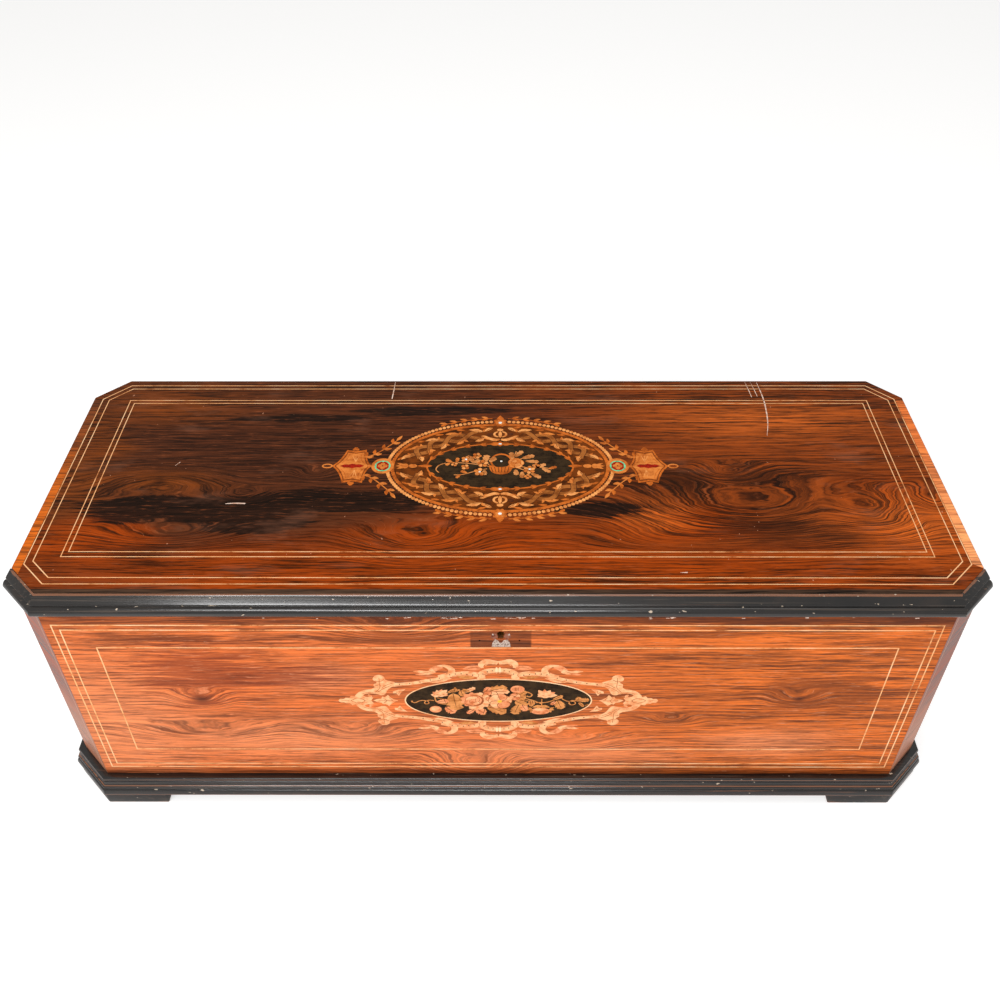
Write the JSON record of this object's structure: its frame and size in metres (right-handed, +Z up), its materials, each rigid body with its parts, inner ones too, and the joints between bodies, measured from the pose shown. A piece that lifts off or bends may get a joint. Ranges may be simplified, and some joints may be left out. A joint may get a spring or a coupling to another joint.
{
  "type": "cylinder music box",
  "caption": "Lever-wound cylinder music box in a veneered case with canted corners, hinged lid and glass inner lid, with comb, spring barrel, air governor and tune change.",
  "frame": {"origin": "on the floor, under the middle of the whole box", "axes": "+X to the right along the front, +Y to the back, +Z up"},
  "size_m": [0.831, 0.3148, 0.282],
  "materials": {
    "rosewood_veneer": "polished figured veneer, orange to dark brown",
    "ebonised_wood": "black stained and polished",
    "pine": "plain sawn",
    "walnut": "oiled",
    "paper": "aged card, plain ruled lines",
    "glass": "clear",
    "brass": "polished, lightly aged",
    "steel": "ground and polished",
    "cast_iron": "painted"
  },
  "bodies": {
    "root": {"front_panel": "rosewood_veneer", "side_panel_left": "rosewood_veneer", "side_panel_right": "rosewood_veneer", "back_panel": "walnut", "bottom_board": "pine", "corner_post_front_left": "rosewood_veneer", "corner_post_front_right": "rosewood_veneer", "corner_post_back_left": "rosewood_veneer", "corner_post_back_right": "rosewood_veneer", "foot_front_left": "ebonised_wood", "foot_front_right": "ebonised_wood", "foot_back_left": "ebonised_wood", "foot_back_right": "ebonised_wood", "plinth_moulding": "ebonised_wood", "lock_body": "brass", "lid_hinge_lower_left": "brass", "lid_hinge_lower_right": "brass", "partition_left": "walnut", "partition_right": "walnut", "glass_lid_ledge": "walnut", "bedplate": "cast_iron", "bedplate_bearer_left": "pine", "bedplate_bearer_right": "pine", "comb": "steel", "comb_base": "brass", "cylinder_bridge_left": "brass", "cylinder_bridge_right": "brass", "barrel_bracket": "brass", "governor_frame": "brass", "control_bracket": "brass"},
    "lid": {"lid_panel": "rosewood_veneer", "lid_moulding": "ebonised_wood", "lid_strike_plate": "brass", "tune_card": "paper", "lid_hinge_upper_left": "brass", "lid_hinge_upper_right": "brass"},
    "glass_lid": {"glass_lid_frame": "ebonised_wood", "glass_pane": "glass", "glass_lid_knob": "brass"},
    "lock_bolt": {"lock_bolt": "steel"},
    "arbor": {"cylinder_arbor": "steel", "great_wheel": "brass"},
    "cylinder": {"music_cylinder": "brass"},
    "snail": {"tune_snail": "steel"},
    "barrel": {"spring_barrel": "brass"},
    "winding_arbor": {"winding_arbor": "steel", "ratchet_wheel": "steel"},
    "winding_lever": {"winding_lever": "steel", "lever_grip": "ebonised_wood", "lever_pawl": "steel"},
    "click": {"click": "steel"},
    "governor_first": {"first_governor_wheel": "steel"},
    "governor_second": {"second_governor_wheel": "steel"},
    "endless": {"endless_screw": "steel", "fly": "brass"},
    "start_stop": {"start_stop_rod": "steel", "start_stop_lever": "steel"},
    "change_repeat": {"change_rod": "steel", "change_repeat_lever": "steel"}
  },
  "joints": [
    {"name": "lid_hinge", "type": "hinge", "parent": "root", "child": "lid", "pos_m": [0, 0.1544, 0.25975], "axis": [-1, 0, 0], "range_deg": [0, 100]},
    {"name": "glass_lid_hinge", "type": "hinge", "parent": "root", "child": "glass_lid", "pos_m": [0, 0.1251, 0.2465], "axis": [-1, 0, 0], "range_deg": [0, 85]},
    {"name": "lock_bolt_slide", "type": "slide", "parent": "root", "child": "lock_bolt", "axis": [0, 0, 1], "range_m": [0, 0.005]},
    {"name": "cylinder_turn", "type": "hinge", "parent": "root", "child": "arbor", "pos_m": [0, 0.0146, 0.138], "axis": [-1, 0, 0], "continuous": true},
    {"name": "tune_shift", "type": "slide", "parent": "arbor", "child": "cylinder", "axis": [-1, 0, 0], "range_m": [0, 0.0028]},
    {"name": "snail_turn", "type": "hinge", "parent": "arbor", "child": "snail", "pos_m": [0.17, 0.0266, 0.11721], "axis": [1, 0, 0], "range_deg": [0, 315.1]},
    {"name": "barrel_turn", "type": "hinge", "parent": "root", "child": "barrel", "pos_m": [-0.237, -0.0346, 0.138], "axis": [-1, 0, 0], "continuous": true},
    {"name": "first_governor_turn", "type": "hinge", "parent": "root", "child": "governor_first", "pos_m": [0.2, -0.02364, 0.12408], "axis": [-1, 0, 0], "continuous": true},
    {"name": "second_governor_turn", "type": "hinge", "parent": "root", "child": "governor_second", "pos_m": [0.2, -0.04134, 0.12408], "axis": [-1, 0, 0], "continuous": true},
    {"name": "screw_turn", "type": "hinge", "parent": "root", "child": "endless", "pos_m": [0.2005, -0.05384, 0.12408], "axis": [0, 0, -1], "continuous": true},
    {"name": "winding_lever_swing", "type": "hinge", "parent": "root", "child": "winding_lever", "pos_m": [-0.318, -0.0346, 0.138], "axis": [1, 0, 0], "range_deg": [0, 100]},
    {"name": "ratchet_turn", "type": "hinge", "parent": "root", "child": "winding_arbor", "pos_m": [-0.308, -0.0346, 0.138], "axis": [1, 0, 0], "range_deg": [0, 100]},
    {"name": "click_swing", "type": "hinge", "parent": "root", "child": "click", "pos_m": [-0.308, -0.06552, 0.14016], "axis": [1, 0, 0], "range_deg": [0, 8]},
    {"name": "start_stop_swing", "type": "hinge", "parent": "root", "child": "start_stop", "pos_m": [0.27, -0.0819, 0.105], "axis": [-1, 0, 0], "range_deg": [0, 8]},
    {"name": "change_repeat_swing", "type": "hinge", "parent": "root", "child": "change_repeat", "pos_m": [0.25, 0.0516, 0.105], "axis": [1, 0, 0], "range_deg": [0, 12]}
  ],
  "couplings": [
    {"joint": "glass_lid_hinge", "follows": "lid_hinge", "ratio": 0.85},
    {"joint": "barrel_turn", "follows": "cylinder_turn", "ratio": -0.16667},
    {"joint": "first_governor_turn", "follows": "cylinder_turn", "ratio": -8},
    {"joint": "second_governor_turn", "follows": "cylinder_turn", "ratio": 48},
    {"joint": "screw_turn", "follows": "cylinder_turn", "ratio": 1536},
    {"joint": "snail_turn", "follows": "tune_shift", "rad_per_m": 1963.5},
    {"joint": "ratchet_turn", "follows": "winding_lever_swing", "ratio": 1}
  ]
}
